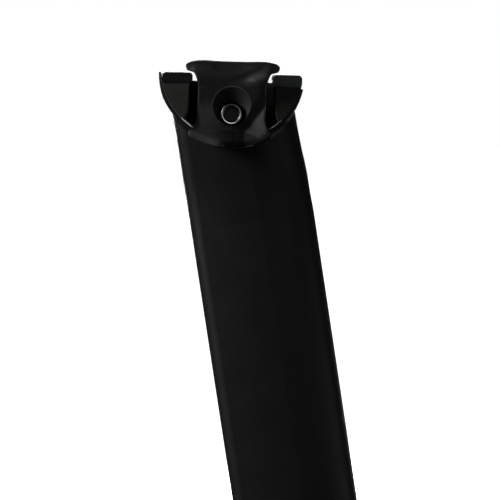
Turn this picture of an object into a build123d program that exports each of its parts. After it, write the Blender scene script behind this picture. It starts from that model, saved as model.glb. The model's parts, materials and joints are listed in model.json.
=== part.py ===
# Bicycle seatpost: an aero tube whose head holds a tilting side clamp for two saddle rails.
# Millimetres. +Z runs up the tube, +X to the front of the bicycle, +Y to its left.
# The origin is the middle of the tube's lower end.
import math
import os

from build123d import *

# Two places closer than this are the same place
SAME_PLACE = 0.01

# Tube
POST_LENGTH = 300.0  # lower end to the tilt axis
CHORD = 43.4  # front to back
THICKNESS = 24.5  # side to side
NOSE_LENGTH = 19.0  # rounded front, from its tip to the widest place
TAIL_TAPER = 3.2  # how far each side eases in towards the tail
TAIL_CROWN = 0.8  # bulge of the cut-off tail
TAIL_CORNER = 4.6
WALL = 2.2

# Saddle rails
RAIL_RADIUS = 3.5
RAIL_SPACING = 44.0
RAIL_SIDE = RAIL_SPACING / 2
RAIL_DROP = 2.8  # below the tilt axis, square to the rails
RAIL_TILT = 10.2  # degrees from square to the tube, front end low

# Trough: a round channel across the head, with a thin lip in front and behind
TROUGH_RADIUS = 24.6
RAIL_LIP_ROOM = 0.3  # between a rail and the trough's side edge
TROUGH_SIDE = RAIL_SIDE - RAIL_RADIUS - RAIL_LIP_ROOM  # side edge, from the middle plane
TROUGH_SPAN = 158.0  # degrees of arc
TROUGH_LEAN = 15.6  # degrees that its mouth leans to the front
LIP_THICKNESS = 1.65
LIP_EDGE = 0.75  # thickness left at the side edges
LIP_END = 0.8  # thickness at its front and rear ends
LIP_TAPER_DROP = 2.5  # how far below the tilt axis the taper towards those ends is centred
LIP_BEVEL = 1.2  # width of the sloping back that the plates hook behind
LIP_ROOT = 2.0  # rounding where the lip leaves the head
RIM_ROUND = 0.25  # rounding of the trough's side edges

# Head of the post, measured from the tilt axis
TILT_AXIS_AHEAD = 1.2  # in front of the middle of the chord
FLARE_DROP = 54.0  # where the tube begins to widen into the head
FLARE_STEPS = 5
HEAD_DROP = 8.0  # top of the widened part, before the trough is cut
LIP_OVERHANG = 2.5  # how far the trough's side edges stand out from the head
HEAD_WIDTH = 2 * (TROUGH_SIDE - LIP_OVERHANG)
FRONT_PINCH = 1.6  # the front edge draws back under the trough
REAR_SWELL = 0.4  # the rear edge stands out under the trough
HOLLOW_DROP = 46.0  # top of the tube's hollow

# Outer plates
HOOK_LENGTH = 32.1  # along the rail
HOOK_THICKNESS = 1.4  # metal above the rail
HOOK_TOP = RAIL_RADIUS - RAIL_DROP + HOOK_THICKNESS
HOOK_FOOT_RISE = 1.0  # underside of the hook's ends, above the rail's middle
HOOK_FOOT = HOOK_FOOT_RISE - RAIL_DROP
HOOK_DIP = 0.3  # hollow in the middle of its top
DROOP_LENGTH = 6.7  # the ends droop over this length
TIP_DROP = 2.0  # tips of the ends, below the top
TIP_ROUND = 1.2
HOOK_SIDE = 2.1  # metal outside the rail
HOOK_REACH = 0.4  # how far the hook passes inwards over the rail's top
WING = 2.95  # length of each hook end past the neck
WING_SLOPE = 0.4  # how far the hook's underside falls from its tip to the neck
NECK_TOP = HOOK_FOOT - WING_SLOPE
NECK_WIDTH = HOOK_LENGTH - 2 * WING
NECK_FILLET = 0.8
WAIST_PINCH = 1.45  # how far each side draws in under the neck
WAIST_WIDTH = NECK_WIDTH - 2 * WAIST_PINCH
WAIST_TOP_DROP = 8.0
WAIST_FOOT_DROP = 17.0
PLATE_PLAY = 0.2  # between plate and trough
PLATE_INNER = TROUGH_SIDE + PLATE_PLAY
TOE_THICKNESS = 1.45  # metal under the trough's lip
SKIRT_RADIUS = TROUGH_RADIUS + LIP_THICKNESS + PLATE_PLAY + TOE_THICKNESS
SKIRT_FRONT_ANGLE = 32.6  # degrees from the plate's middle to the skirt's front tip
SKIRT_REAR_ANGLE = 34.6
SKIRT_CORNER = 1.2
SKIRT_THICKNESS = 2.0  # at its edge
SKIRT_SIDE = PLATE_INNER + SKIRT_THICKNESS
PLATE_BULGE = 0.7  # crown of the outer face
SHOULDER_ROUND = 5.0  # where the hook turns down into the outer face
RAIL_ROOM = 0.9  # under the rail, so that only the hook bears on it

# Cradle
CRADLE_PLAY = 0.15  # between cradle and trough
CRADLE_RADIUS = TROUGH_RADIUS - CRADLE_PLAY
EAR_END_TRIM = 0.55  # cut off the half-moon's front and rear ends
CRADLE_LENGTH = 2 * (CRADLE_RADIUS - EAR_END_TRIM)
EAR_CUP = 1.4  # how far an ear passes out under the rail's middle
CRADLE_SIDE = RAIL_SIDE + EAR_CUP
EAR_RISE = 0.45  # an ear's top, above the rail's middle
EAR_TOP = EAR_RISE - RAIL_DROP
EAR_TOP_GAP = 0.8  # between an ear's top and the plate's neck
EAR_TOP_INSET = NECK_WIDTH / 2 + EAR_TOP_GAP
EAR_KNEE_GAP = 2.7  # between an ear's inner edge and the plate's waist
EAR_KNEE_INSET = WAIST_WIDTH / 2 + EAR_KNEE_GAP
EAR_KNEE_DROP = 14.5  # where that edge turns off to the foot
EAR_FOOT_GAP = 4.05  # between an ear's foot and the plate's waist
EAR_FOOT_INSET = WAIST_WIDTH / 2 + EAR_FOOT_GAP
EAR_FOOT_DROP = 19.0
EAR_CORNER = 1.4  # at the two upper corners
EAR_FOOT_ROUND = 0.5
EAR_EDGE = 0.8  # rounding of an ear's outer face, along its top and its inner edge
EAR_DRAFT = 7.0  # degrees that the outer face turns in towards the cradle's ends
WEB_WIDTH = 22.0
WEB_DROP = 5.25

# Bolt, washer and nut, all on one cross axis
BOLT_DROP = 16.05
BOLT_RADIUS = 3.0
BOLT_PLAY = 0.35  # in the plates
NUT_PLAY = 0.04  # in the nut
CRADLE_BOLT_PLAY = 1.6  # in the cradle, so that the plates can find their seat
SEAT_RISE = 1.4  # washer seat, out from the plate's inner face
SEAT_SIDE = PLATE_INNER + SEAT_RISE
WASHER_RADIUS = 4.0
WASHER_THICKNESS = 1.2
FLANGE_INSET = 0.1  # bolt's flange inside the washer's edge
FLANGE_RADIUS = WASHER_RADIUS - FLANGE_INSET
FLANGE_THICKNESS = 1.0
HUB_RADIUS = 3.55
HUB_HEIGHT = 2.6
BOLT_CHAMFER = 0.35
SOCKET_FLATS = 5.0
SOCKET_DEPTH = 2.8
SOCKET_TURN = 15.0  # degrees
COUNTERBORE_PLAY = 0.2
COUNTERBORE_RADIUS = WASHER_RADIUS + COUNTERBORE_PLAY
COUNTERBORE_DEPTH = 2.9
DISH_HALF_ANGLE = 54.0  # degrees
DISH_FLOOR = SEAT_SIDE + COUNTERBORE_DEPTH
BOSS_WALL = 2.4  # round the counterbore
BOSS_RADIUS = COUNTERBORE_RADIUS + BOSS_WALL
BOSS_LENGTH = 4.3  # inwards from the washer seat
BOSS_INNER = SEAT_SIDE - BOSS_LENGTH
NUT_FLATS = 10.0
NUT_POCKET_PLAY = 0.1
NUT_FLOOR = 2.1  # metal under the nut
NUT_SEAT = BOSS_INNER + NUT_FLOOR
NUT_LENGTH = 8.0
BOLT_END_PAST_NUT = 1.5

TILT_AXIS = Location((TILT_AXIS_AHEAD, 0, POST_LENGTH))
CLAMP = TILT_AXIS * Location((0, 0, 0), (0, RAIL_TILT, 0))


def tube_section(front, rear, width, inset=0.0):
    """Aero outline with a rounded nose and a squared-off tail."""
    widest = front - NOSE_LENGTH
    half = width / 2 - inset
    tail_half = width / 2 - TAIL_TAPER - inset
    tail = rear + inset
    corner = tail + TAIL_CROWN
    nose = EllipticalCenterArc((widest, 0), NOSE_LENGTH - inset, half, start_angle=-90, arc_size=180)
    left = TangentArc((widest, half), (corner, tail_half), tangent=(-1, 0))
    right = TangentArc((widest, -half), (corner, -tail_half), tangent=(-1, 0))
    end = ThreePointArc((corner, tail_half), (tail, 0), (corner, -tail_half))
    outline = make_face([nose, left, end, right])
    return fillet(outline.vertices().group_by(Axis.X)[0], TAIL_CORNER - inset)


def across(radius, inner, outer, z=0.0):
    """Round bar along Y from inner to outer."""
    bar = extrude(Plane.XZ * Circle(radius), amount=-(outer - inner))
    return Pos(0, inner, z) * bar


def turned(profile):
    """Full turn about Y of a profile given as (y, radius) points."""
    return revolve(Plane.YZ * make_face(Polyline(*profile, close=True)), Axis.Y)


def taper_radius():
    """Radius of the arc, centred below the tilt axis, that thins the lip towards its ends."""
    angle = math.radians(TROUGH_SPAN / 2)
    end = TROUGH_RADIUS + LIP_END
    return math.hypot(end * math.sin(angle), end * math.cos(angle) - LIP_TAPER_DROP)


def is_lip_root(edge):
    """True on the freeform edges where the lip's round back meets the head."""
    if edge.geom_type in (GeomType.CIRCLE, GeomType.LINE):
        return False
    lean = math.radians(TROUGH_LEAN)
    offset = edge.position_at(0.5) - TILT_AXIS.position
    below = offset + LIP_TAPER_DROP * Vector(math.sin(lean), 0, math.cos(lean))
    on_back = abs(math.hypot(offset.X, offset.Z) - TROUGH_RADIUS - LIP_THICKNESS) < SAME_PLACE
    return on_back or abs(math.hypot(below.X, below.Z) - taper_radius()) < SAME_PLACE


def is_trough_rim(edge):
    """True on the arcs where the trough comes out at its side edges."""
    if edge.geom_type != GeomType.CIRCLE or abs(edge.radius - TROUGH_RADIUS) > SAME_PLACE:
        return False
    return abs(abs(edge.position_at(0.5).Y) - TROUGH_SIDE) < SAME_PLACE


def make_post():
    front = CHORD / 2
    flare_base = POST_LENGTH - FLARE_DROP
    flare_height = FLARE_DROP - HEAD_DROP
    tube = extrude(tube_section(front, -front, THICKNESS), amount=flare_base)
    flare = []
    for step in range(FLARE_STEPS + 1):
        share = step / FLARE_STEPS
        ease = share * share * (3 - 2 * share)
        width = THICKNESS + ease * (HEAD_WIDTH - THICKNESS)
        outline = tube_section(front - ease * FRONT_PINCH, -front - ease * REAR_SWELL, width)
        flare.append(Pos(0, 0, flare_base + share * flare_height) * outline)
    lip_outer = TROUGH_RADIUS + LIP_THICKNESS
    lip_edge = TROUGH_RADIUS + LIP_EDGE
    lip_inner = TROUGH_RADIUS - LIP_THICKNESS
    profile = Polyline(
        (-TROUGH_SIDE, lip_inner),
        (TROUGH_SIDE, lip_inner),
        (TROUGH_SIDE, lip_edge),
        (TROUGH_SIDE - LIP_BEVEL, lip_outer),
        (LIP_BEVEL - TROUGH_SIDE, lip_outer),
        (-TROUGH_SIDE, lip_edge),
        close=True,
    )
    lip = revolve(Plane.YZ * make_face(profile), Axis.Y, TROUGH_SPAN)
    lip = Rot(0, 180 + TROUGH_LEAN - TROUGH_SPAN / 2, 0) * lip
    lip = lip & Rot(0, TROUGH_LEAN, 0) * across(taper_radius(), -TROUGH_SIDE, TROUGH_SIDE, z=-LIP_TAPER_DROP)
    trough = across(TROUGH_RADIUS, -HEAD_WIDTH, HEAD_WIDTH)
    post = tube + loft(flare) + TILT_AXIS * lip - TILT_AXIS * trough
    post = fillet([edge for edge in post.edges() if is_lip_root(edge)], LIP_ROOT)
    post = fillet([edge for edge in post.edges() if is_trough_rim(edge)], RIM_ROUND)
    hollow = extrude(tube_section(front, -front, THICKNESS, WALL), amount=POST_LENGTH - HOLLOW_DROP)
    return post - hollow


def ear_faces(outline):
    """Bar with an ear's outline but no arc: its two outer faces are drafted, and rounded at their edges."""
    bar = extrude(Plane.XZ * outline, amount=CRADLE_SIDE, both=True)
    draft = math.radians(EAR_DRAFT)
    for side in (-1, 1):
        outward = (math.sin(draft), side * math.cos(draft), 0)
        face = Plane((EAR_TOP_INSET, side * CRADLE_SIDE, 0), z_dir=outward)
        bar = split(bar, bisect_by=face, keep=Keep.BOTTOM)
    outer = [face for face in bar.faces() if abs(face.normal_at().Y) > math.cos(2 * draft)]
    return fillet([edge for face in outer for edge in face.edges()], EAR_EDGE)


def make_cradle():
    half_length = CRADLE_LENGTH / 2
    slant = (EAR_FOOT_INSET - EAR_KNEE_INSET) / (EAR_FOOT_DROP - EAR_KNEE_DROP)
    floor_inset = EAR_FOOT_INSET + slant * (CRADLE_RADIUS - EAR_FOOT_DROP)
    ear_block = make_face(
        Polyline(
            (EAR_TOP_INSET, EAR_TOP),
            (half_length, EAR_TOP),
            (half_length, -CRADLE_RADIUS),
            (floor_inset, -CRADLE_RADIUS),
            (EAR_KNEE_INSET, -EAR_KNEE_DROP),
            close=True,
        )
    )
    ear_outline = ear_block & Circle(CRADLE_RADIUS)
    ear_outline = fillet(ear_outline.vertices().group_by(Axis.Y)[-1], EAR_CORNER)
    ear_outline = fillet(ear_outline.vertices().group_by(Axis.Y)[0], EAR_FOOT_ROUND)
    ear = extrude(Plane.XZ * ear_outline, amount=CRADLE_SIDE, both=True) & ear_faces(ear_block)
    web_block = Pos(0, -WEB_DROP - CRADLE_RADIUS / 2) * Rectangle(2 * EAR_FOOT_INSET, CRADLE_RADIUS)
    web = extrude(Plane.XZ * (web_block & Circle(CRADLE_RADIUS)), amount=WEB_WIDTH / 2, both=True)
    cradle = web + ear + mirror(ear, about=Plane.YZ)
    for side in (-RAIL_SIDE, RAIL_SIDE):
        rail = extrude(Plane.YZ * Circle(RAIL_RADIUS), amount=CRADLE_LENGTH, both=True)
        cradle -= Pos(0, side, -RAIL_DROP) * rail
    hole = across(BOLT_RADIUS + CRADLE_BOLT_PLAY, -WEB_WIDTH, WEB_WIDTH, z=-BOLT_DROP)
    return CLAMP * (cradle - hole)


def hook_outline():
    """Bar over the rail, a little hollow on top, with ends that droop to rounded tips."""
    tip = HOOK_LENGTH / 2
    tip_height = HOOK_TOP - TIP_DROP
    foot_rise = tip_height - HOOK_FOOT
    flat = tip - DROOP_LENGTH
    foot = tip - TIP_ROUND
    neck = NECK_WIDTH / 2
    edges = [
        ThreePointArc((flat, HOOK_TOP), (0, HOOK_TOP - HOOK_DIP), (-flat, HOOK_TOP)),
        EllipticalCenterArc((-flat, tip_height), DROOP_LENGTH, TIP_DROP, start_angle=90, arc_size=90),
        EllipticalCenterArc((-foot, tip_height), TIP_ROUND, foot_rise, start_angle=180, arc_size=90),
        *Polyline((-foot, HOOK_FOOT), (-neck, NECK_TOP), (neck, NECK_TOP), (foot, HOOK_FOOT)).edges(),
        EllipticalCenterArc((foot, tip_height), TIP_ROUND, foot_rise, start_angle=270, arc_size=90),
        EllipticalCenterArc((flat, tip_height), DROOP_LENGTH, TIP_DROP, start_angle=0, arc_size=90),
    ]
    return make_face(edges)


def plate_outline():
    """T seen from the side: hook bar above, waist, and a skirt on an arc about the tilt axis."""
    tips = []
    for side, degrees in ((-1, SKIRT_REAR_ANGLE), (1, SKIRT_FRONT_ANGLE)):
        angle = math.radians(degrees)
        tips.append(Vector(side * SKIRT_RADIUS * math.sin(angle), -SKIRT_RADIUS * math.cos(angle)))
    waist = WAIST_WIDTH / 2
    neck = Vector(NECK_WIDTH / 2, NECK_TOP)
    tip_height = HOOK_TOP - TIP_DROP
    edges = []
    for side, tip in zip((-1, 1), tips):
        waist_top = (side * waist, -WAIST_TOP_DROP)
        waist_foot = (side * waist, -WAIST_FOOT_DROP)
        edges.append(TangentArc(waist_top, (side * neck.X, neck.Y), tangent=(0, 1)))
        edges.append(Line(waist_top, waist_foot))
        edges.append(TangentArc(waist_foot, tip, tangent=(0, -1)))
        edges.append(Line((side * neck.X, neck.Y), (side * neck.X, tip_height)))
    edges.append(Line((-neck.X, tip_height), (neck.X, tip_height)))
    edges.append(ThreePointArc(tips[0], (0, -SKIRT_RADIUS), tips[1]))
    outline = hook_outline() + make_face(edges)
    corners = outline.vertices().filter_by(lambda v: abs(abs(v.X) - neck.X) < SAME_PLACE)
    necks = corners.filter_by(lambda v: abs(v.Y - neck.Y) < SAME_PLACE)
    outline = fillet(necks, NECK_FILLET)
    corners = [outline.vertices().sort_by_distance(tip)[0] for tip in tips]
    return fillet(corners, SKIRT_CORNER)


def plate_bulk():
    """Solid behind the plate's outer face, over the hook and down to the skirt."""
    crest = RAIL_SIDE + RAIL_RADIUS + HOOK_SIDE
    shoulder = Vector(crest, -RAIL_DROP)
    foot = Vector(SKIRT_SIDE, -SKIRT_RADIUS)
    middle = (shoulder + foot) / 2 + Vector(PLATE_BULGE, 0)
    over = Vector(RAIL_SIDE, HOOK_TOP)
    face = ThreePointArc(shoulder, middle, foot)
    roll = TangentArc(over, shoulder, tangent=(1, 0))
    below = 2 * foot.Y
    sides = Polyline(foot, (foot.X, below), (0, below), (0, over.Y), over)
    profile = make_face([face, roll, *sides.edges()])
    profile = fillet(profile.vertices().sort_by_distance(shoulder)[0], SHOULDER_ROUND)
    return extrude(Plane.YZ * profile, amount=HOOK_LENGTH, both=True)


def rail_channel():
    """Room for the rail, open towards the cradle."""
    reach = RAIL_SIDE - HOOK_REACH
    floor = -RAIL_DROP - RAIL_RADIUS - RAIL_ROOM
    slot = Polyline(
        (0, floor),
        (RAIL_SIDE, floor),
        (RAIL_SIDE, -RAIL_DROP),
        (reach, -RAIL_DROP),
        (reach, HOOK_TOP + RAIL_RADIUS),
        (0, HOOK_TOP + RAIL_RADIUS),
        close=True,
    )
    rail = Pos(RAIL_SIDE, -RAIL_DROP) * Circle(RAIL_RADIUS)
    return extrude(Plane.YZ * (make_face(slot) + rail), amount=HOOK_LENGTH, both=True)


def trough_clearance():
    """The trough's lip with play all round, as the plate's inner face sees it."""
    edge = TROUGH_RADIUS + LIP_EDGE + PLATE_PLAY
    outer = TROUGH_RADIUS + LIP_THICKNESS + PLATE_PLAY
    toe = PLATE_INNER - LIP_BEVEL
    far = 2 * outer
    return turned([(0, 0), (PLATE_INNER, 0), (PLATE_INNER, edge), (toe, outer), (toe, far), (0, far)])


def make_left_plate():
    """Left plate, with its own bolt hole but no seat for what the bolt carries."""
    reach = RAIL_SPACING
    blank = extrude(Plane.XZ * plate_outline(), amount=-reach) & plate_bulk()
    blank = blank - trough_clearance() - rail_channel()
    boss = across(BOSS_RADIUS, BOSS_INNER, SEAT_SIDE, z=-BOLT_DROP)
    plate = blank + boss
    depth = reach - DISH_FLOOR
    spread = COUNTERBORE_RADIUS + depth * math.tan(math.radians(DISH_HALF_ANGLE))
    dish = turned([(DISH_FLOOR, 0), (DISH_FLOOR, COUNTERBORE_RADIUS), (reach, spread), (reach, 0)])
    plate -= Pos(0, 0, -BOLT_DROP) * dish
    plate -= across(BOLT_RADIUS + BOLT_PLAY, 0, reach, z=-BOLT_DROP)
    return plate


def make_right_plate(plate):
    counterbore = across(COUNTERBORE_RADIUS, SEAT_SIDE, RAIL_SPACING, z=-BOLT_DROP)
    return CLAMP * mirror(plate - counterbore, about=Plane.XZ)


def hexagon_bar(flats, inner, outer, turn=0.0):
    outline = Rot(0, 0, turn) * RegularPolygon(flats / 2, 6, major_radius=False)
    bar = extrude(Plane.XZ * outline, amount=-(outer - inner))
    return Pos(0, inner, -BOLT_DROP) * bar


def make_nutted_plate(plate):
    pocket = hexagon_bar(NUT_FLATS + 2 * NUT_POCKET_PLAY, NUT_SEAT, RAIL_SPACING)
    return CLAMP * (plate - pocket)


def make_washer():
    inner = -SEAT_SIDE - WASHER_THICKNESS
    disc = across(WASHER_RADIUS, inner, -SEAT_SIDE, z=-BOLT_DROP)
    hole = across(BOLT_RADIUS + BOLT_PLAY, inner, -SEAT_SIDE, z=-BOLT_DROP)
    return CLAMP * (disc - hole)


def make_bolt():
    under_head = -SEAT_SIDE - WASHER_THICKNESS
    flange_top = under_head - FLANGE_THICKNESS
    head_top = flange_top - HUB_HEIGHT
    end = NUT_SEAT + NUT_LENGTH + BOLT_END_PAST_NUT
    shape = [
        (head_top, 0),
        (head_top, HUB_RADIUS - BOLT_CHAMFER),
        (head_top + BOLT_CHAMFER, HUB_RADIUS),
        (flange_top, HUB_RADIUS),
        (flange_top, FLANGE_RADIUS),
        (under_head, FLANGE_RADIUS),
        (under_head, BOLT_RADIUS),
        (end - BOLT_CHAMFER, BOLT_RADIUS),
        (end, BOLT_RADIUS - BOLT_CHAMFER),
        (end, 0),
    ]
    bolt = Pos(0, 0, -BOLT_DROP) * turned(shape)
    socket = hexagon_bar(SOCKET_FLATS, head_top, head_top + SOCKET_DEPTH, SOCKET_TURN)
    return CLAMP * (bolt - socket)


def make_nut():
    nut = hexagon_bar(NUT_FLATS, NUT_SEAT, NUT_SEAT + NUT_LENGTH)
    bore = across(BOLT_RADIUS + NUT_PLAY, 0, RAIL_SPACING, z=-BOLT_DROP)
    return CLAMP * (nut - bore)


left_plate = make_left_plate()
pieces = {
    "post": make_post(),
    "rail_cradle": make_cradle(),
    "clamp_plate_right": make_right_plate(left_plate),
    "clamp_plate_left": make_nutted_plate(left_plate),
    "clamp_bolt": make_bolt(),
    "bolt_washer": make_washer(),
    "clamp_nut": make_nut(),
}

os.makedirs("parts", exist_ok=True)
for name, shape in pieces.items():
    export_step(shape, f"parts/{name}.step")
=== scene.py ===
import json
import math

import bmesh
import bpy
from mathutils import Matrix, Vector
from mathutils.bvhtree import BVHTree


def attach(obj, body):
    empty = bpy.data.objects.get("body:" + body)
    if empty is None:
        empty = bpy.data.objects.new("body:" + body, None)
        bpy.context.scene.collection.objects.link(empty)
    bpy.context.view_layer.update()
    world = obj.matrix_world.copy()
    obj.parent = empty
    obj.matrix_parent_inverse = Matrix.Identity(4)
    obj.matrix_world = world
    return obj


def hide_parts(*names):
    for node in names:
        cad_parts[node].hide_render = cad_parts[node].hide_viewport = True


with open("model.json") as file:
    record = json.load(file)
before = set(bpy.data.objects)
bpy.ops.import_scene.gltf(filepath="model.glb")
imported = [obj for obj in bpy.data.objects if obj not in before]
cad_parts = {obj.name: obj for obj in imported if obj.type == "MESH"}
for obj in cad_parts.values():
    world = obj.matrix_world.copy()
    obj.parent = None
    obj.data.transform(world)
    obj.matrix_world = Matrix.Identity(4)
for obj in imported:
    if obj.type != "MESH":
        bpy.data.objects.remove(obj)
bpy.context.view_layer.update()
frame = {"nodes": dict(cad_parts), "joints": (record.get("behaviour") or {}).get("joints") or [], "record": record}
nodes = frame["nodes"]


# Post: a hollow moulding of black fibre laminate, tube and flared head in one, under a satin clear coat.
# The mould leaves a fine grain and the faint run of the fibres; the bore stays as its core shaped it.
# The foot is sawn square. A thin painted highlight runs along the rim of the head's trough, and a bright painted
# highlight lies on that rim in the gaps beside the plates.
trough_radius = 0.0246
trough_side = 0.0182
fibre_run = (1.0, 1.0, 0.03)
fibres_per_metre = 900.0
laminate_tones = ((0.0026, 0.0027, 0.0029, 1.0), (0.0044, 0.0045, 0.0048, 1.0))
raw_tones = ((0.008, 0.008, 0.008, 1.0), (0.017, 0.017, 0.016, 1.0))
raw_roughness = 0.8
coat_roughness = (0.38, 0.50)
post_dust = (0.05, 0.05, 0.048, 1.0)
# Painted highlights: a thin one along the trough's rim and a bright one on the rim in the gaps beside the plates.
trough_rim_painted_highlight = (0.10, 0.10, 0.10, 1.0)
gap_painted_highlight = (0.70, 0.70, 0.70, 1.0)
bore_wall = (-0.0005, -0.0025)
bore_end = (0.256, 0.250)
saw_cut = (0.0003, 0.0001)
rim_band = (0.0005, 0.0002)
rim_inside = 0.001
rim_outside = 0.00022
rim_soft = 0.0002
gap_highlight_start = 0.0138
gap_highlight_end = 0.0170
gap_highlight_soft = 0.0004
gap_highlight_top = (-0.0150, -0.0165)
gap_highlight_band = (0.0020, 0.0012)
breakup_tone = (0.40, 0.60)
breakup_share = (0.5, 1.0)


def place(tree, kind, inputs=(), **settings):
    """Adds a shader node, sets it up and feeds its sockets with values or other nodes' outputs."""
    node = tree.nodes.new(kind)
    for key, value in settings.items():
        setattr(node, key, value)
    for socket, value in inputs:
        if isinstance(value, bpy.types.NodeSocket):
            tree.links.new(value, node.inputs[socket])
        else:
            node.inputs[socket].default_value = value
    return node


def effect(name, inputs, outputs):
    """Starts a shader group with named inputs and outputs and returns it with its two end nodes."""
    group = bpy.data.node_groups.new(name, "ShaderNodeTree")
    for label, kind, value in inputs:
        socket = group.interface.new_socket(label, in_out="INPUT", socket_type=kind)
        if value is not None:
            socket.default_value = value
    for label, kind in outputs:
        group.interface.new_socket(label, in_out="OUTPUT", socket_type=kind)
    start = group.nodes.new("NodeGroupInput")
    end = group.nodes.new("NodeGroupOutput")
    return group, start, end


def use(tree, group, spot, *inputs):
    """Puts a shared effect into a material, with the place on the piece and its own values."""
    return place(tree, "ShaderNodeGroup", [("Place", spot), *inputs], node_tree=group)


def finish_of(name):
    """Starts a material and returns it with its tree and its surface shader."""
    material = bpy.data.materials.new(name)
    material.use_nodes = True
    tree = material.node_tree
    return material, tree, tree.nodes["Principled BSDF"]


def piece_spot(tree):
    """Place of a point of the surface in the piece's own frame."""
    return place(tree, "ShaderNodeTexCoord").outputs["Object"]


def mixed(tree, share, first, second):
    """Colour between two others, by a share from 0 to 1."""
    node = place(tree, "ShaderNodeMix", data_type="RGBA")
    for socket, value in (("Factor", share), ("A", first), ("B", second)):
        plug = [entry for entry in node.inputs if entry.name == socket and entry.enabled][0]
        if isinstance(value, bpy.types.NodeSocket):
            tree.links.new(value, plug)
        else:
            plug.default_value = value
    return [entry for entry in node.outputs if entry.enabled][0]


def spread(tree, value, start, end, to_start=0.0, to_end=1.0):
    """Value between two limits brought to another range and held inside it, by default a mask from 0 to 1."""
    node = place(
        tree, "ShaderNodeMapRange",
        [("Value", value), ("From Min", start), ("From Max", end), ("To Min", to_start), ("To Max", to_end)],
    )
    return node.outputs["Result"]


def combined(tree, operation, first, second=0.0):
    """Two values combined by an operation of the math node."""
    return place(tree, "ShaderNodeMath", [(0, first), (1, second)], operation=operation).outputs[0]


def times(tree, first, *others):
    """Product of several values."""
    for other in others:
        first = combined(tree, "MULTIPLY", first, other)
    return first


def within(tree, value, low, high, soft):
    """Mask that is 1 while a value lies between two limits, and fades out past them."""
    return times(tree, spread(tree, value, low - soft, low), spread(tree, value, high + soft, high))


def length_of(tree, vector):
    """Length of a vector, such as the distance of a place from the frame's middle."""
    return place(tree, "ShaderNodeVectorMath", [(0, vector)], operation="LENGTH").outputs["Value"]


def reach_of(tree, first, second):
    """Distance made by two offsets at right angles."""
    arm = place(tree, "ShaderNodeCombineXYZ", [("X", first), ("Y", second)])
    return length_of(tree, arm.outputs["Vector"])


specks, start, end = effect(
    "dust_specks",
    [("Place", "NodeSocketVector", None), ("Per Metre", "NodeSocketFloat", 300.0),
     ("Share", "NodeSocketFloat", 0.03), ("Size", "NodeSocketFloat", 0.12)],
    [("Mask", "NodeSocketFloat")],
)
cells = place(
    specks, "ShaderNodeTexVoronoi",
    [("Vector", start.outputs["Place"]), ("Scale", start.outputs["Per Metre"])],
)
lot = place(specks, "ShaderNodeSeparateColor", [("Color", cells.outputs["Color"])])
chosen = combined(specks, "LESS_THAN", lot.outputs["Red"], start.outputs["Share"])
close = spread(specks, cells.outputs["Distance"], start.outputs["Size"], 0.0)
specks.links.new(times(specks, chosen, close), end.inputs["Mask"])

cloud_scale = 0.045
pore_share = 0.65
cloud_share = 0.35
tone_range = (0.35, 0.65)
grain_height = 0.0001
grain, start, end = effect(
    "satin_grain",
    [("Place", "NodeSocketVector", None), ("Per Metre", "NodeSocketFloat", 2500.0)],
    [("Height", "NodeSocketFloat"), ("Tone", "NodeSocketFloat")],
)
pores = place(
    grain, "ShaderNodeTexNoise",
    [("Vector", start.outputs["Place"]), ("Scale", start.outputs["Per Metre"]), ("Detail", 3.0),
     ("Roughness", 0.62)],
)
cloud = place(
    grain, "ShaderNodeTexNoise",
    [("Vector", start.outputs["Place"]), ("Scale", times(grain, start.outputs["Per Metre"], cloud_scale)),
     ("Detail", 4.0), ("Roughness", 0.6)],
)
fine_tone = times(grain, pores.outputs["Fac"], pore_share)
wide_tone = times(grain, cloud.outputs["Fac"], cloud_share)
grain.links.new(pores.outputs["Fac"], end.inputs["Height"])
grain.links.new(combined(grain, "ADD", fine_tone, wide_tone), end.inputs["Tone"])


def emboss(tree, surface, height, strength):
    """Raises a fine grain on a surface."""
    bump = place(
        tree, "ShaderNodeBump", [("Strength", strength), ("Distance", grain_height), ("Height", height)],
    )
    tree.links.new(bump.outputs["Normal"], surface.inputs["Normal"])


joints = {joint["name"]: joint for joint in frame["joints"]}
mounts = {mount["name"]: mount for mount in frame["record"]["mounts"]}
pivot = Vector(joints["saddle_tilt"]["pos_m"])
rail_run = Vector(mounts["rail_left"]["axis"])
rail_lean = math.atan2(-rail_run.z, rail_run.x)
clamp = Matrix.Translation(pivot) @ Matrix.Rotation(rail_lean, 4, "Y")
bolt_spot = clamp.inverted() @ Vector(joints["bolt_turn"]["pos_m"])
rail_spot = clamp.inverted() @ Vector(mounts["rail_left"]["pos_m"])
rail_radius = mounts["rail_left"]["dims"]["r_mm"] / 1000

clamp_labels = ("Along", "Across", "Up", "From Axis", "From Bolt", "From Rail")
clamp_place, start, end = effect(
    "clamp_place", [("Place", "NodeSocketVector", None)],
    [(label, "NodeSocketFloat") for label in clamp_labels],
)
levelled = place(
    clamp_place, "ShaderNodeMapping",
    [("Vector", start.outputs["Place"]), ("Location", pivot), ("Rotation", (0.0, rail_lean, 0.0))],
    vector_type="TEXTURE",
)
apart = place(clamp_place, "ShaderNodeSeparateXYZ", [("Vector", levelled.outputs["Vector"])])
along = apart.outputs["X"]
across = combined(clamp_place, "ABSOLUTE", apart.outputs["Y"])
up = apart.outputs["Z"]
over_bolt = combined(clamp_place, "SUBTRACT", up, bolt_spot.z)
beside_rail = combined(clamp_place, "SUBTRACT", across, rail_spot.y)
over_rail = combined(clamp_place, "SUBTRACT", up, rail_spot.z)
clamp_values = (
    along, across, up, reach_of(clamp_place, along, up), reach_of(clamp_place, along, over_bolt),
    reach_of(clamp_place, beside_rail, over_rail),
)
for label, value in zip(clamp_labels, clamp_values):
    clamp_place.links.new(value, end.inputs[label])

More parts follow.
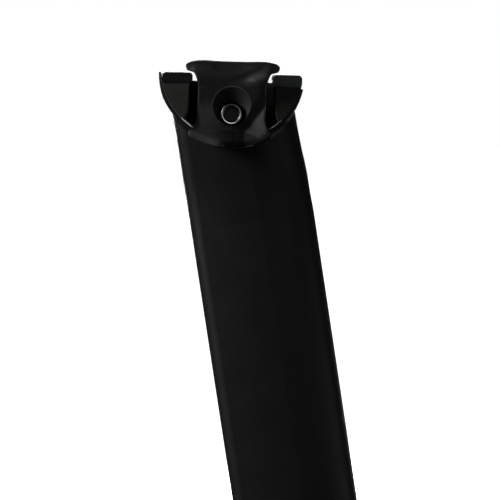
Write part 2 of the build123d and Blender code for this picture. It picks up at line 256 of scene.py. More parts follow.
fibre_satin, tree, surface = finish_of("fibre_satin")
spot = piece_spot(tree)
satin = use(tree, grain, spot, ("Per Metre", 2600.0))
dust = use(tree, specks, spot, ("Per Metre", 240.0), ("Share", 0.012), ("Size", 0.07))
drawn = place(tree, "ShaderNodeMapping", [("Vector", spot), ("Scale", fibre_run)])
fibres = place(
    tree, "ShaderNodeTexNoise",
    [("Vector", drawn.outputs["Vector"]), ("Scale", fibres_per_metre), ("Detail", 3.0)],
)
laminate = mixed(tree, fibres.outputs["Fac"], *laminate_tones)
dusted = mixed(tree, dust.outputs["Mask"], laminate, post_dust)

facing = place(tree, "ShaderNodeNewGeometry").outputs["Normal"]
outward = place(tree, "ShaderNodeVectorMath", [(0, facing), (1, spot)], operation="DOT_PRODUCT")
height = place(tree, "ShaderNodeSeparateXYZ", [("Vector", spot)]).outputs["Z"]
rise = place(tree, "ShaderNodeSeparateXYZ", [("Vector", facing)]).outputs["Z"]
from_middle = combined(tree, "SUBTRACT", outward.outputs["Value"], times(tree, height, rise))
in_bore = times(tree, spread(tree, from_middle, *bore_wall), spread(tree, height, *bore_end))
raw = combined(tree, "MAXIMUM", in_bore, spread(tree, height, *saw_cut))
bare = mixed(tree, satin.outputs["Tone"], *raw_tones)

where = use(tree, clamp_place, spot)
off_middle = combined(tree, "ABSOLUTE", where.outputs["Along"])
to_side = combined(tree, "SUBTRACT", trough_side, where.outputs["Across"])
at_rim = within(
    tree, where.outputs["From Axis"], trough_radius - rim_inside, trough_radius + rim_outside, rim_soft,
)
# Painted highlight: a thin light line along the rim of the trough, broken up by the grain.
rim_highlight = times(tree, spread(tree, to_side, *rim_band), at_rim)
# Painted highlight: a bright patch on the trough's rim low in the gaps between the plates and the ears.
in_gap = within(tree, off_middle, gap_highlight_start, gap_highlight_end, gap_highlight_soft)
low_down = spread(tree, where.outputs["Up"], *gap_highlight_top)
gap_highlight = times(tree, in_gap, low_down, spread(tree, to_side, *gap_highlight_band), at_rim)
highlight_breakup = spread(tree, satin.outputs["Tone"], *breakup_tone, *breakup_share)
rim_highlighted = mixed(tree, times(tree, rim_highlight, highlight_breakup), dusted, trough_rim_painted_highlight)
gap_highlighted = mixed(tree, times(tree, gap_highlight, highlight_breakup), rim_highlighted, gap_painted_highlight)
gloss = spread(tree, satin.outputs["Tone"], *tone_range, *coat_roughness)
dull = combined(tree, "MAXIMUM", gloss, times(tree, raw, raw_roughness))
surface.inputs["Specular IOR Level"].default_value = 0.2
tree.links.new(mixed(tree, raw, gap_highlighted, bare), surface.inputs["Base Color"])
tree.links.new(dull, surface.inputs["Roughness"])
emboss(tree, surface, satin.outputs["Height"], strength=0.10)

nodes["post"].data.materials.clear()
nodes["post"].data.materials.append(fibre_satin)


# Cradle: a forged half-moon of alloy, bead-blasted and anodised black.
# It lies loose in the head's round trough, and its four ears carry the saddle's rails in grooves.
# The grooves carry painted light and shade, lighter in the front ears and darker in the rear ones, and the recess
# for the plates is painted near black as shade.
cradle_tones = ((0.0056, 0.0053, 0.0046, 1.0), (0.0138, 0.0130, 0.0114, 1.0))
# Painted light and shade in the rail grooves, and painted shade in the recess for the plates.
groove_light_and_shade_tones = ((0.0024, 0.0024, 0.0025, 1.0), (0.0340, 0.0370, 0.0390, 1.0))
cradle_dust = (0.14, 0.137, 0.130, 1.0)
recess_painted_shade = (0.0016, 0.0016, 0.0016, 1.0)
cradle_roughness = (0.46, 0.60)
groove_skin = (0.00016, 0.00006)
front_half = (-0.002, 0.002)
recess_side = (0.0182, 0.0176)
recess_width = (0.0149, 0.0145)
recess_top = (-0.0058, -0.0075)

cradle_black, tree, surface = finish_of("cradle_black")
spot = piece_spot(tree)
blasted = use(tree, grain, spot, ("Per Metre", 3000.0))
dust = use(tree, specks, spot, ("Per Metre", 700.0), ("Share", 0.10), ("Size", 0.13))
where = use(tree, clamp_place, spot)
dye = mixed(tree, spread(tree, blasted.outputs["Tone"], *tone_range), *cradle_tones)
off_rail = combined(tree, "SUBTRACT", where.outputs["From Rail"], rail_radius)
groove = spread(tree, combined(tree, "ABSOLUTE", off_rail), *groove_skin)
# Painted light and shade: the front grooves lighter, the rear grooves darker.
groove_painted_light = mixed(tree, spread(tree, where.outputs["Along"], *front_half), *groove_light_and_shade_tones)
groove_painted = mixed(tree, groove, dye, groove_painted_light)
dusted = mixed(tree, dust.outputs["Mask"], groove_painted, cradle_dust)
# Painted shade: the recess for the plates, between and below the ears, is near black.
inward = spread(tree, where.outputs["Across"], *recess_side)
beside_plate = spread(tree, combined(tree, "ABSOLUTE", where.outputs["Along"]), *recess_width)
enclosed = combined(tree, "MAXIMUM", inward, beside_plate)
recess_shade = times(tree, enclosed, spread(tree, where.outputs["Up"], *recess_top))
dull = spread(tree, blasted.outputs["Tone"], *tone_range, *cradle_roughness)
surface.inputs["Specular IOR Level"].default_value = 0.12
tree.links.new(mixed(tree, recess_shade, dusted, recess_painted_shade), surface.inputs["Base Color"])
tree.links.new(dull, surface.inputs["Roughness"])
emboss(tree, surface, blasted.outputs["Height"], strength=0.3)

nodes["rail_cradle"].data.materials.clear()
nodes["rail_cradle"].data.materials.append(cradle_black)


# Clamp plates: two T-shaped alloy forgings, blasted and anodised black, one on each side of the cradle.
# Each hooks over a saddle rail above and under the trough's lip below; the bolt draws the pair together.
# The forging's outer face is softly modelled, and the bolt's dish and bore are machined into it afterwards.
turn_steps = 96


def ring(y, reach):
    """Points round the bolt's axis at a height y along it; reach is a radius, or gives one for an angle."""
    points = []
    for step in range(turn_steps):
        angle = 2 * math.pi * step / turn_steps
        radius = reach(angle) if callable(reach) else reach
        points.append(Vector((radius * math.cos(angle), y, bolt_spot.z + radius * math.sin(angle))))
    return points


def hexagon(flats, turn=0.0):
    """Radius of a hexagon, by the angle."""
    def reach(angle):
        off = (angle - turn + math.pi / 6) % (math.pi / 3) - math.pi / 6
        return flats / 2 / math.cos(off)
    return reach


def loft(name, rings, hollow=False):
    """Closed mesh through rings of points: its ends are capped, or joined to each other if it is hollow."""
    solid = bmesh.new()
    rows = [[solid.verts.new(point) for point in points] for points in rings]
    pairs = list(zip(rows, rows[1:]))
    if hollow:
        pairs.append((rows[-1], rows[0]))
    else:
        solid.faces.new(rows[0])
        solid.faces.new(rows[-1])
    for row, following in pairs:
        for step in range(turn_steps):
            ahead = (step + 1) % turn_steps
            solid.faces.new((row[step], row[ahead], following[ahead], following[step]))
    bmesh.ops.recalc_face_normals(solid, faces=solid.faces)
    mesh = bpy.data.meshes.new(name)
    solid.to_mesh(mesh)
    solid.free()
    return mesh


def ease(share):
    """Share from 0 to 1 with a soft start and end, and held there outside."""
    share = min(max(share, 0.0), 1.0)
    return share * share * (3 - 2 * share)


def past_line(x, z, start, end):
    """How far a point lies to the right of a line from start to end, and where along it, from 0 to 1."""
    run = Vector(end) - Vector(start)
    offset = Vector((x, z)) - Vector(start)
    along = offset.dot(run) / run.length_squared
    return (offset.x * run.y - offset.y * run.x) / run.length, along


def ramp(distance, soft):
    """Distance past a fold, with the fold itself rounded over a width on either side."""
    if distance <= -soft:
        return 0.0
    if distance >= soft:
        return distance
    return (distance + soft) ** 2 / (4 * soft)


wing_start = 0.0124
wing_fade = 0.0026
wing_setback = 0.0005
wing_foot = 0.0112
crown_foot = 0.0115
crown_height = 0.0060
crown_width = 0.0055
crown_hollow = 0.0005
shoulder_rise = 0.0005
shoulder_foot = 0.0125
shoulder_start = 0.004
shoulder_fade = 0.004


def crown_relief(x, z):
    """Head of the T: its wings are set back, its middle is hollowed and its shoulders are raised."""
    height = 0.0
    if z > wing_foot:
        height -= wing_setback * ease((abs(x) - wing_start) / wing_fade)
    height -= crown_hollow * ease((z - crown_foot) / crown_height) * math.exp(-((x / crown_width) ** 2))
    above = ease((z - shoulder_foot) / shoulder_fade)
    return height + shoulder_rise * above * ease((abs(x) - shoulder_start) / shoulder_fade)


rim_spot = (-0.00015, 0.00245)
rim_radius = 0.0078
rim_clear = 0.0045
crease = ((-0.0010, 0.0096), (0.0118, 0.0166))
crease_depth = 0.0005
crease_width = 0.0013
crease_start = -0.10
crease_end = 0.85
crease_fade = 0.25
rib_rise = 0.0010
rib_width = 0.0034
rib_fall = 0.0060


def rib_relief(x, z):
    """Crease and rib that climb from the dish to the front shoulder, and stay clear of the dish's rim."""
    beside = ease((math.hypot(x - rim_spot[0], z - rim_spot[1]) - rim_radius) / rim_clear)
    off, along = past_line(x, z, *crease)
    ends = ease((along - crease_start) / crease_fade) * (1.0 - ease((along - crease_end) / crease_fade))
    rib = ease(off / rib_width) * (1.0 - ease((off - rib_width) / rib_fall))
    return beside * ends * (rib_rise * rib - crease_depth * math.exp(-((off / crease_width) ** 2)))


rear_fold = ((-0.0030, -0.0060), (-0.0075, 0.0040))
rear_top = 0.0060
rear_fade = 0.0040
rear_slope = 0.15
rear_reach = 0.0065
rear_soft = 0.0012
cheek_line = ((0.0043, -0.0060), (0.0119, 0.0036))
cheek_slope = 0.48
cheek_reach = 0.0065
cheek_soft = 0.0004
cheek_end_soft = 0.0015
keel_fall = 0.0009
keel_width = 0.0042


def cheek_relief(x, z):
    """Cheeks on either side of the dish: the rear one falls away, the front one rises past the keel."""
    off = past_line(x, z, *rear_fold)[0]
    fallen = ramp(-off, rear_soft) - ramp(-off - rear_reach, rear_soft)
    height = -rear_slope * ease((rear_top - z) / rear_fade) * fallen
    off = past_line(x, z, *cheek_line)[0]
    if z < cheek_line[0][1]:
        off = min(off, x - cheek_line[0][0])
    height -= keel_fall * ease(1.0 + off / keel_width)
    return height + cheek_slope * (ramp(off, cheek_soft) - ramp(off - cheek_reach, cheek_end_soft))


skirt_radius = 0.0281
flare_width = 0.0030
flare_slope = 0.55
flare_soft = 0.0010
flare_start = 0.0005
flare_fade = 0.004
under_width = 0.0022
under_slope = 0.70
under_soft = 0.0006
narrow_start = 0.006
narrow_fade = 0.006
narrowed = 0.0012


def skirt_relief(x, z):
    """Lower edge: it flares out at the rear and tucks in at the front, in a band that narrows."""
    inset = skirt_radius - math.hypot(x, z + bolt_spot.z)
    rearward = ease((-x - flare_start) / flare_fade)
    height = flare_slope * rearward * ramp(flare_width - inset, flare_soft)
    tucked = under_width - narrowed * ease((x - narrow_start) / narrow_fade)
    return height - under_slope * (1.0 - rearward) * ramp(tucked - inset, under_soft)


def modelled(x, z):
    """How far the forging's face stands off the plain solid; x runs along the rail, z up from the bolt."""
    return crown_relief(x, z) + rib_relief(x, z) + cheek_relief(x, z) + skirt_relief(x, z)


seat_height = 0.0198
dish_floor = 0.0232
dish_slope = math.tan(math.radians(54.0))
dish_steps = 24
counterbore_radius = 0.0042
hole_radius = 0.00335
nut_seat = 0.0176
nut_flats = 0.010
nut_play = 0.0002
nut_pocket_flats = nut_flats + nut_play
bore_inner = 0.0150
cut_reach = 0.0340
core_radius = 0.0062
core_inner = 0.0156
core_top = 0.0230
lens_radius = 0.0082
lens_rise = 0.0026
lens_floor = 0.0225
lens_skin = 0.0003
lens_lift = 0.00001
lens_shares = (0.05, 0.2, 0.4, 0.6, 0.8, 1.0)
beside_dish = 0.0098
clear_height = 0.05
solid_dish_floor = 0.0227
weld = 0.000001
voxel = 0.00025
rough_rounds = 14
fine_rounds = 7
side_facing = 0.15
side_fade = 0.5
plate_sharp_angle = 24.0


def settled(piece, modifier):
    """Applies one modifier to a piece's mesh."""
    graph = bpy.context.evaluated_depsgraph_get()
    mesh = bpy.data.meshes.new_from_object(piece.evaluated_get(graph))
    piece.modifiers.remove(modifier)
    piece.data = mesh


def smoothed(piece, rounds):
    """Softens a piece's mesh by some rounds of averaging."""
    soften = piece.modifiers.new("soften", "SMOOTH")
    soften.factor = 0.5
    soften.iterations = rounds
    settled(piece, soften)


def cut(piece, mesh):
    """Takes a closed shape out of a piece."""
    tool = bpy.data.objects.new("cutter", mesh)
    bpy.context.scene.collection.objects.link(tool)
    machined = piece.modifiers.new("machined", "BOOLEAN")
    machined.operation = "DIFFERENCE"
    machined.solver = "EXACT"
    machined.object = tool
    settled(piece, machined)
    bpy.data.objects.remove(tool)


def dish_filling(shape):
    """Lens that fills the dish of the plain solid, from just under its cone up to the level of its face."""
    def face_height(z):
        return shape.ray_cast(Vector((beside_dish, clear_height, z)), Vector((0.0, -1.0, 0.0)))[0].y

    def cone_height(point):
        reach = math.hypot(point.x, point.z - bolt_spot.z)
        return max(lens_floor, solid_dish_floor + (reach - counterbore_radius) / dish_slope - lens_skin)

    below = []
    above = []
    for share in lens_shares:
        spots = [Vector((p.x, 0.0, p.z + lens_rise)) for p in ring(0.0, lens_radius * share)]
        below.append([Vector((p.x, min(cone_height(p), face_height(p.z)), p.z)) for p in spots])
        above.append([Vector((p.x, face_height(p.z) + lens_lift, p.z)) for p in spots])
    return loft("lens", below + above[::-1])


def forged_plate(node, name, side, cutters):
    """Plate with a modelled outer face; side is 1 for the left one and -1 for the right, its mirror image."""
    into = Matrix.Scale(side, 4, (0.0, 1.0, 0.0)) @ clamp.inverted()
    solid = bmesh.new()
    solid.from_mesh(nodes[node].data)
    bmesh.ops.remove_doubles(solid, verts=solid.verts, dist=weld)
    solid.transform(into)
    if side < 0:
        bmesh.ops.reverse_faces(solid, faces=solid.faces)
    solid.from_mesh(dish_filling(BVHTree.FromBMesh(solid)))
    solid.from_mesh(loft("core", [ring(core_inner, core_radius), ring(core_top, core_radius)]))
    mesh = bpy.data.meshes.new(name)
    solid.to_mesh(mesh)
    solid.free()
    piece = bpy.data.objects.new(name, mesh)
    bpy.context.scene.collection.objects.link(piece)
    skin = piece.modifiers.new("skin", "REMESH")
    skin.mode = "VOXEL"
    skin.voxel_size = voxel
    settled(piece, skin)
    smoothed(piece, rough_rounds)
    for vertex, normal in zip(piece.data.vertices, [entry.vector.y for entry in piece.data.vertex_normals]):
        outward = ease((normal - side_facing) / side_fade)
        vertex.co.y += outward * modelled(vertex.co.x, vertex.co.z - bolt_spot.z)
    smoothed(piece, fine_rounds)
    for cutter in cutters:
        cut(piece, cutter)
    piece.data.transform(into.inverted())
    if side < 0:
        piece.data.flip_normals()
    piece.data.shade_smooth()
    piece.data.set_sharp_from_angle(angle=math.radians(plate_sharp_angle))
    piece.data.name = name
    piece.data.materials.clear()
    return piece


plate_tones = ((0.0032, 0.0033, 0.0035, 1.0), (0.0070, 0.0072, 0.0076, 1.0))
# Painted light on the rear cheek, its flared lower edge and the front rib, and a painted highlight along the
# dish's rim.
rear_cheek_light_tones = ((0.0090, 0.0090, 0.0091, 1.0), (0.0185, 0.0186, 0.0188, 1.0))
flare_light_tones = ((0.0180, 0.0180, 0.0181, 1.0), (0.0330, 0.0331, 0.0333, 1.0))
rib_painted_sheen = (0.0220, 0.0237, 0.0244, 1.0)
plate_dust = (0.14, 0.14, 0.136, 1.0)
turned_black = (0.0012, 0.0012, 0.0013, 1.0)
dish_rim_painted_highlight = (0.030, 0.030, 0.031, 1.0)
plate_roughness = (0.38, 0.50)
turned_roughness = 0.8
rear_half = (-0.003, -0.007)
lower_half = (0.006, 0.001)
flare_band = (0.0030, 0.0022)
rib_spot = (0.0050, 0.0110)
rib_reach = (0.0066, 0.0027)
rib_lean = 0.22
rib_fade = (1.0, 0.15)
wall_skin = (0.00006, 0.00003)
rim_inner_edge = (0.00003, 0.00010)
rim_outer_edge = (0.00036, 0.00022)
past_bore = (0.0046, 0.0048)

plate_black, tree, surface = finish_of("plate_black")
spot = piece_spot(tree)
blasted = use(tree, grain, spot, ("Per Metre", 3000.0))
dust = use(tree, specks, spot, ("Per Metre", 600.0), ("Share", 0.05), ("Size", 0.12))
where = use(tree, clamp_place, spot)
tone = spread(tree, blasted.outputs["Tone"], *tone_range)
over_bolt = combined(tree, "SUBTRACT", where.outputs["Up"], bolt_spot.z)
# Painted light: the lower rear cheek is lighter.
rear_cheek = times(
    tree, spread(tree, where.outputs["Along"], *rear_half), spread(tree, over_bolt, *lower_half),
)
rear_cheek_lit = mixed(tree, rear_cheek, mixed(tree, tone, *plate_tones), mixed(tree, tone, *rear_cheek_light_tones))
# Painted light: the flared lower edge of the rear cheek is lighter still.
to_edge = combined(tree, "SUBTRACT", skirt_radius, where.outputs["From Axis"])
flare_light_share = times(tree, spread(tree, to_edge, *flare_band), rear_cheek)
flare_lit = mixed(tree, flare_light_share, rear_cheek_lit, mixed(tree, tone, *flare_light_tones))
# Painted sheen on the rib that climbs from the dish towards the front shoulder.
along_rib = combined(tree, "SUBTRACT", where.outputs["Along"], rib_spot[0])
over_rib = combined(tree, "SUBTRACT", over_bolt, rib_spot[1])
across_rib = combined(tree, "SUBTRACT", over_rib, times(tree, along_rib, rib_lean))
along_share = combined(tree, "DIVIDE", along_rib, rib_reach[0])
across_share = combined(tree, "DIVIDE", across_rib, rib_reach[1])
off_rib = reach_of(tree, along_share, across_share)
sheened = mixed(tree, times(tree, spread(tree, off_rib, *rib_fade), tone), flare_lit, rib_painted_sheen)
dusted = mixed(tree, dust.outputs["Mask"], sheened, plate_dust)
depth = combined(tree, "SUBTRACT", where.outputs["Across"], dish_floor)
wall = combined(tree, "ADD", times(tree, depth, dish_slope), counterbore_radius)
off_wall = combined(tree, "SUBTRACT", where.outputs["From Bolt"], wall)
turned = spread(tree, combined(tree, "ABSOLUTE", off_wall), *wall_skin)
# Painted highlight: a thin light line along the dish's rim.
rim_highlight = times(
    tree, spread(tree, off_wall, *rim_inner_edge), spread(tree, off_wall, *rim_outer_edge),
    spread(tree, where.outputs["From Bolt"], *past_bore),
)
machined = mixed(tree, turned, dusted, turned_black)
blast = spread(tree, blasted.outputs["Tone"], *tone_range, *plate_roughness)
dull = combined(tree, "MAXIMUM", blast, times(tree, turned, turned_roughness))
surface.inputs["Specular IOR Level"].default_value = 0.33
tree.links.new(mixed(tree, rim_highlight, machined, dish_rim_painted_highlight), surface.inputs["Base Color"])
tree.links.new(dull, surface.inputs["Roughness"])
emboss(tree, surface, blasted.outputs["Height"], strength=0.25)

dish = []
for step in range(dish_steps + 1):
    rise = (cut_reach - dish_floor) * step / dish_steps
    dish.append(ring(dish_floor + rise, counterbore_radius + rise * dish_slope))
bolt_bore = [
    ring(bore_inner, hole_radius),
    ring(seat_height, hole_radius),
    ring(seat_height, counterbore_radius),
] + dish
nut_bore = [ring(bore_inner, hole_radius), ring(dish_floor, hole_radius)] + dish
nut_pocket = [ring(nut_seat, hexagon(nut_pocket_flats)), ring(cut_reach, hexagon(nut_pocket_flats))]
plates = (
    ("clamp_plate_right", "right_plate_forging", "right_jaw", -1, [bolt_bore]),
    ("clamp_plate_left", "left_plate_forging", "left_jaw", 1, [nut_bore, nut_pocket]),
)
for node, name, body, side, cutters in plates:
    plate = forged_plate(node, name, side, [loft("cutter", rings) for rings in cutters])
    plate.data.materials.append(plate_black)
    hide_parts(node)
    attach(plate, body)


# Bolt: a turned and rolled screw of blackened steel with a round hub, a flange and a hexagon socket.
# The key has rubbed the hub's rim bare and left grease in the socket; the rim's bright side, towards the lower
# rear, is a painted glint.
# The far end carries the rolled thread that the nut runs on.
hub_radius = 0.00355
hub_top = 0.0246
mouth_radius = 0.00295
rim_drop = 0.00016
rim_steps = 10
socket_flats = 0.005
socket_turn = math.radians(15.0)
socket_depth = 0.0028
flange_radius = 0.0039
flange_top = 0.0220
flange_foot = 0.0210
flange_round = 0.0002
root_round = 0.0003
root_steps = 4
edge_steps = 3
shank_radius = 0.003
thread_pitch = 0.001
thread_depth = 0.00058
thread_start = 0.0120
thread_end = 0.0271
thread_tip = 0.0001
crest_share = 0.12
flank_share = 0.72
steps_per_turn = 12
steel_sharp_angle = 35.0


def finished_piece(name, mesh, sharp_angle):
    """Brings a mesh from the clamp's own frame to its place, shaded smooth but for its sharp edges."""
    mesh.transform(clamp)
    mesh.shade_smooth()
    mesh.set_sharp_from_angle(angle=math.radians(sharp_angle))
    mesh.name = name
    piece = bpy.data.objects.new(name, mesh)
    bpy.context.scene.collection.objects.link(piece)
    return piece


def rounded(first, second, third, radius, steps):
    """Points (y, radius) round the corner at second, between the runs from first and to third."""
    corner = Vector(second)
    before = (Vector(first) - corner).normalized()
    after = (Vector(third) - corner).normalized()
    points = []
    for step in range(steps + 1):
        share = step / steps
        points.append(corner + before * radius * (1 - share) ** 2 + after * radius * share ** 2)
    return points


socket_wall = hexagon(socket_flats, socket_turn)
mouth = rim_drop - hub_top
mouth_ring = ring(mouth, socket_wall)
for point in mouth_ring:
    point.y += mouth_radius - math.hypot(point.x, point.z - bolt_spot.z)
bolt_profile = []
for step in range(rim_steps + 1):
    share = step / rim_steps
    rim_reach = mouth_radius + (hub_radius - mouth_radius) * share
    bolt_profile.append(Vector((mouth - rim_drop * (1 - (2 * share - 1) ** 2), rim_reach)))
head_corners = (
    (-hub_top, hub_radius), (-flange_top, hub_radius), (-flange_top, flange_radius),
    (-flange_foot, flange_radius), (-flange_foot, shank_radius),
)
head_rounds = ((root_round, root_steps), (flange_round, edge_steps), (flange_round, edge_steps))
head_runs = zip(head_corners, head_corners[1:], head_corners[2:], head_rounds)
for before, corner, after, (radius, steps) in head_runs:
    bolt_profile += rounded(before, corner, after, radius, steps)
bolt_profile += [Vector(head_corners[-1]), Vector((thread_start - thread_pitch, shank_radius))]


def thread_reach(y):
    """Radius of the screw thread at a height y, by the angle."""
    lead_in = ease((y - thread_start) / thread_pitch)
    limit = shank_radius - thread_depth - thread_tip + max(thread_end - y, 0.0)

    def reach(angle):
        phase = (y / thread_pitch - angle / (2 * math.pi)) % 1.0
        flank = min(max((abs(2 * phase - 1) - crest_share) / flank_share, 0.0), 1.0)
        return min(shank_radius - lead_in * thread_depth * flank, limit)
    return reach


bolt_rings = [ring(socket_depth - hub_top, socket_wall), mouth_ring]
bolt_rings += [ring(point.x, point.y) for point in bolt_profile]
thread_steps = round((thread_end - thread_start) / thread_pitch * steps_per_turn)
for step in range(thread_steps + 1):
    y = thread_start + (thread_end - thread_start) * step / thread_steps
    bolt_rings.append(ring(y, thread_reach(y)))

steel_tones = ((0.035, 0.035, 0.037, 1.0), (0.075, 0.075, 0.078, 1.0))
# Painted glint: the rim's tones run from dark to near white towards the lower rear side.
rim_glint_tones = ((0.07, 0.069, 0.067, 1.0), (0.95, 0.94, 0.92, 1.0))
grease_grey = (0.030, 0.030, 0.030, 1.0)
steel_roughness = (0.30, 0.42)
rubbed_roughness = 0.62
rubbed_scratches = 0.6
hub_face = (0.0003, 0.0002)
rub_inner = 0.00006
rub_outer = 0.00030
rub_soft = 0.00006
glint_angle = math.radians(228.0)
glint_fade = (0.2, 1.0)
grease_depth = (0.0016, 0.0020)
grease_radius = (0.0029, 0.0028)
grease_foot = (0.0004, 0.0005)

steel_black, tree, surface = finish_of("steel_black")
spot = piece_spot(tree)
rolled = use(tree, grain, spot, ("Per Metre", 4000.0))
where = use(tree, clamp_place, spot)
dye = mixed(tree, spread(tree, rolled.outputs["Tone"], *tone_range), *steel_tones)
to_top = combined(tree, "SUBTRACT", hub_top, where.outputs["Across"])
on_rim = within(tree, where.outputs["From Bolt"], mouth_radius + rub_inner, hub_radius - rub_outer, rub_soft)
sheened = times(tree, spread(tree, to_top, *hub_face), on_rim)
over_foot = combined(tree, "SUBTRACT", where.outputs["Across"], flange_foot)
greased = times(
    tree, spread(tree, to_top, *grease_depth), spread(tree, where.outputs["From Bolt"], *grease_radius),
    spread(tree, over_foot, *grease_foot),
)
over_bolt = combined(tree, "SUBTRACT", where.outputs["Up"], bolt_spot.z)
# Painted glint on the rubbed rim band, brightest towards the lower rear.
toward_glint = combined(
    tree, "ADD", times(tree, where.outputs["Along"], math.cos(glint_angle)),
    times(tree, over_bolt, math.sin(glint_angle)),
)
glint_side = spread(tree, combined(tree, "DIVIDE", toward_glint, where.outputs["From Bolt"]), *glint_fade)
shining = mixed(tree, sheened, dye, mixed(tree, glint_side, *rim_glint_tones))
dulled = combined(tree, "MAXIMUM", greased, times(tree, sheened, rubbed_scratches))
smooth = spread(tree, rolled.outputs["Tone"], *tone_range, *steel_roughness)
scuffed = combined(tree, "MAXIMUM", smooth, times(tree, sheened, rubbed_roughness))
tree.links.new(combined(tree, "SUBTRACT", 1.0, dulled), surface.inputs["Metallic"])
tree.links.new(mixed(tree, greased, shining, grease_grey), surface.inputs["Base Color"])
tree.links.new(scuffed, surface.inputs["Roughness"])

bolt = finished_piece("socket_bolt", loft("socket_bolt", bolt_rings), steel_sharp_angle)
bolt.data.materials.append(steel_black)
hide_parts("clamp_bolt")
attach(bolt, "bolt")


# Washer: a ring punched from steel sheet, its edges tumbled round and its surface blackened.
# It lies in the right plate's counterbore, and the bolt's flange turns on it.
washer_radius = 0.0040
washer_round = 0.0002
washer_play = 0.00002
washer_top = washer_play - flange_foot
washer_corners = (
    (washer_top, washer_radius), (-seat_height, washer_radius),
    (-seat_height, hole_radius), (washer_top, hole_radius),
)
washer_profile = []
for number, corner in enumerate(washer_corners):
    before = washer_corners[number - 1]
    after = washer_corners[(number + 1) % len(washer_corners)]
    washer_profile += rounded(before, corner, after, washer_round, edge_steps)
washer_rings = [ring(point.x, point.y) for point in washer_profile]
washer_mesh = loft("punched_washer", washer_rings, hollow=True)
washer = finished_piece("punched_washer", washer_mesh, steel_sharp_angle)
washer.data.materials.append(steel_black)
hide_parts("bolt_washer")
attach(washer, "right_jaw")


# Nut: a hexagon of blackened steel with chamfered ends and a countersunk bore.
# Its pocket in the left plate keeps it from turning while the bolt draws it in.
nut_height = 0.008
nut_end = nut_seat + nut_height
nut_bore_radius = 0.00304
nut_sink = 0.0004
nut_face_share = 0.96
nut_face_radius = nut_face_share * nut_flats / 2
nut_chamfer = math.tan(math.radians(30.0))
nut_sharp_angle = 25.0
nut_wall = hexagon(nut_flats)


def nut_corner(end, inward):
    """Ring along the edge where the chamfer cuts the six flats."""
    points = ring(end, nut_wall)
    for point in points:
        beyond = math.hypot(point.x, point.z - bolt_spot.z) - nut_face_radius
        point.y += inward * beyond * nut_chamfer
    return points


nut_rings = [
    ring(nut_seat + nut_sink, nut_bore_radius),
    ring(nut_seat, nut_bore_radius + nut_sink),
    ring(nut_seat, nut_face_radius),
    nut_corner(nut_seat, 1),
    nut_corner(nut_end, -1),
    ring(nut_end, nut_face_radius),
    ring(nut_end, nut_bore_radius + nut_sink),
    ring(nut_end - nut_sink, nut_bore_radius),
]
nut = finished_piece("captive_nut", loft("captive_nut", nut_rings, hollow=True), nut_sharp_angle)
nut.data.materials.append(steel_black)
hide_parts("clamp_nut")
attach(nut, "left_jaw")


# Studio: a white sweep with a key lamp at the upper left, a weak fill at the right and a low lamp behind.
# Dark cards round it, above it and on the floor are seen only in reflections, so that black stays black.
# One more card on the floor is seen only by scattered light, so that little of it comes back from below.
white = (1.0, 1.0, 1.0, 1.0)
room_strength = 0.3
floor_reach = 6.0
floor_level = -0.0002
floor_colour = (0.85, 0.85, 0.85, 1.0)
lift_distance = (0.25, 0.75)
lift_strength = (0.1, 1.0)
card_colour = (0.02, 0.02, 0.02, 1.0)
card_distance = 1.3
card_top = 1.4
card_count = 8
card_level = -0.0001
ceiling_reach = 1.4
ceiling_level = 1.41
paper_roughness = 0.9


def shown_white(tree):
    """Mask of the rays that see the white sweep: the camera's, and those of reflections and clear pieces."""
    path = place(tree, "ShaderNodeLightPath")
    seen = combined(tree, "MAXIMUM", path.outputs["Is Camera Ray"], path.outputs["Is Glossy Ray"])
    return combined(tree, "MAXIMUM", seen, path.outputs["Is Transmission Ray"])


def paper(name, colour):
    """Dull finish of one colour, without a highlight."""
    material, tree, surface = finish_of(name)
    surface.inputs["Base Color"].default_value = colour
    surface.inputs["Roughness"].default_value = paper_roughness
    surface.inputs["Specular IOR Level"].default_value = 0.0
    return material, tree, surface


def level_sheet(x_start, x_end, y_start, y_end, level):
    """Corners of a level rectangle."""
    corners = ((x_start, y_start), (x_end, y_start), (x_end, y_end), (x_start, y_end))
    return [(x, y, level) for x, y in corners]


def sheet(name, corners, material):
    """Flat piece of the studio between four corners."""
    mesh = bpy.data.meshes.new(name)
    mesh.from_pydata(corners, [], [(0, 1, 2, 3)])
    mesh.materials.append(material)
    piece = bpy.data.objects.new(name, mesh)
    bpy.context.scene.collection.objects.link(piece)
    return piece


world = bpy.data.worlds.new("studio")
bpy.context.scene.world = world
world.use_nodes = True
tree = world.node_tree
tree.nodes.clear()
room = place(tree, "ShaderNodeBackground", [("Color", white), ("Strength", room_strength)])
sweep = place(tree, "ShaderNodeBackground", [("Color", white), ("Strength", 1.0)])
backdrop = place(
    tree, "ShaderNodeMixShader", [(0, shown_white(tree)), (1, room.outputs[0]), (2, sweep.outputs[0])],
)
place(tree, "ShaderNodeOutputWorld", [("Surface", backdrop.outputs[0])])

floor_white, tree, surface = paper("floor_white", floor_colour)
away = length_of(tree, piece_spot(tree))
strength = times(tree, shown_white(tree), spread(tree, away, *lift_distance, *lift_strength))
lift = place(tree, "ShaderNodeEmission", [("Color", white), ("Strength", strength)])
both = place(tree, "ShaderNodeAddShader", [(0, surface.outputs[0]), (1, lift.outputs[0])])
tree.links.new(both.outputs[0], tree.nodes["Material Output"].inputs["Surface"])
floor_corners = level_sheet(-floor_reach, floor_reach, -floor_reach, floor_reach, 0.0)
floor = sheet("floor", floor_corners, floor_white)
floor.location.z = floor_level

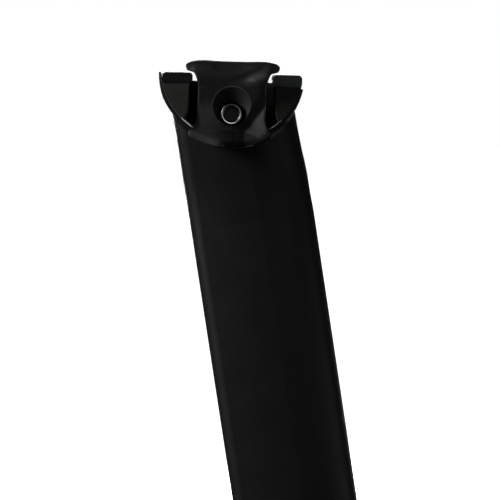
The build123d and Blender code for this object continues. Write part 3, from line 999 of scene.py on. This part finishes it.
card_dark = paper("card_dark", card_colour)[0]
cards = {
    "top_card": level_sheet(-ceiling_reach, ceiling_reach, -ceiling_reach, ceiling_reach, ceiling_level),
    "floor_card": level_sheet(-0.9, 0.9, -1.1, 1.1, card_level),
    "floor_left": level_sheet(-1.3, 0.25, -1.3, 1.3, card_level),
    "floor_front": level_sheet(0.25, 1.3, -1.3, -0.35, card_level),
    "floor_rear": level_sheet(0.25, 1.3, 0.05, 0.70, card_level),
}
half = math.pi / card_count
for number in range(card_count):
    facing = 2 * math.pi * number / card_count
    left = card_distance * Vector((math.sin(facing - half), -math.cos(facing - half), 0.0))
    right = card_distance * Vector((math.sin(facing + half), -math.cos(facing + half), 0.0))
    rise = Vector((0.0, 0.0, card_top))
    cards[f"card_{number}"] = [left, right, right + rise, left + rise]
for name, corners in cards.items():
    card = sheet(name, corners, card_dark)
    card.visible_camera = False
    card.visible_diffuse = name == "floor_card"
    card.visible_glossy = name != "floor_card"
    card.visible_shadow = False

lamps = {
    "key_lamp": ((-0.82, -0.33, 0.75), 0.30, 21.0),
    "fill_lamp": ((0.68, -0.96, 0.40), 0.50, 0.6),
    "back_lamp": ((-0.05, 1.15, 0.42), 0.40, 16.0),
}
head = Vector((0.0, 0.0, 0.28))
for name, (stand, size, power) in lamps.items():
    data = bpy.data.lights.new(name, "AREA")
    data.shape = "SQUARE"
    data.size = size
    data.energy = power
    lamp = bpy.data.objects.new(name, data)
    lamp.location = stand
    lamp.rotation_euler = (head - Vector(stand)).to_track_quat("-Z", "Y").to_euler()
    bpy.context.scene.collection.objects.link(lamp)


# Camera: level with the top of the clamp, a metre off on the bicycle's right.
# It looks down a little to the middle of the picture and is rolled as far as the post leans.
target = Vector((-0.0024, 0.0, 0.2358))
eye = Vector((-0.0024, -1.0, 0.301))
picture_width = 0.175
lean = math.radians(8.64)
forward = (target - eye).normalized()
level = forward.cross(Vector((0.0, 0.0, 1.0))).normalized()
upright = level.cross(forward)
right = level * math.cos(lean) - upright * math.sin(lean)
above = level * math.sin(lean) + upright * math.cos(lean)
stand = Matrix((right, above, -forward)).transposed().to_4x4()
stand.translation = eye
lens = bpy.data.cameras.new("camera")
lens.sensor_width = 36.0
lens.lens = lens.sensor_width * (target - eye).length / picture_width
lens.clip_start = 0.01
lens.clip_end = 50.0
camera = bpy.data.objects.new("camera", lens)
camera.matrix_world = stand
bpy.context.scene.collection.objects.link(camera)
bpy.context.scene.camera = camera
bpy.context.scene.view_settings.view_transform = "Standard"
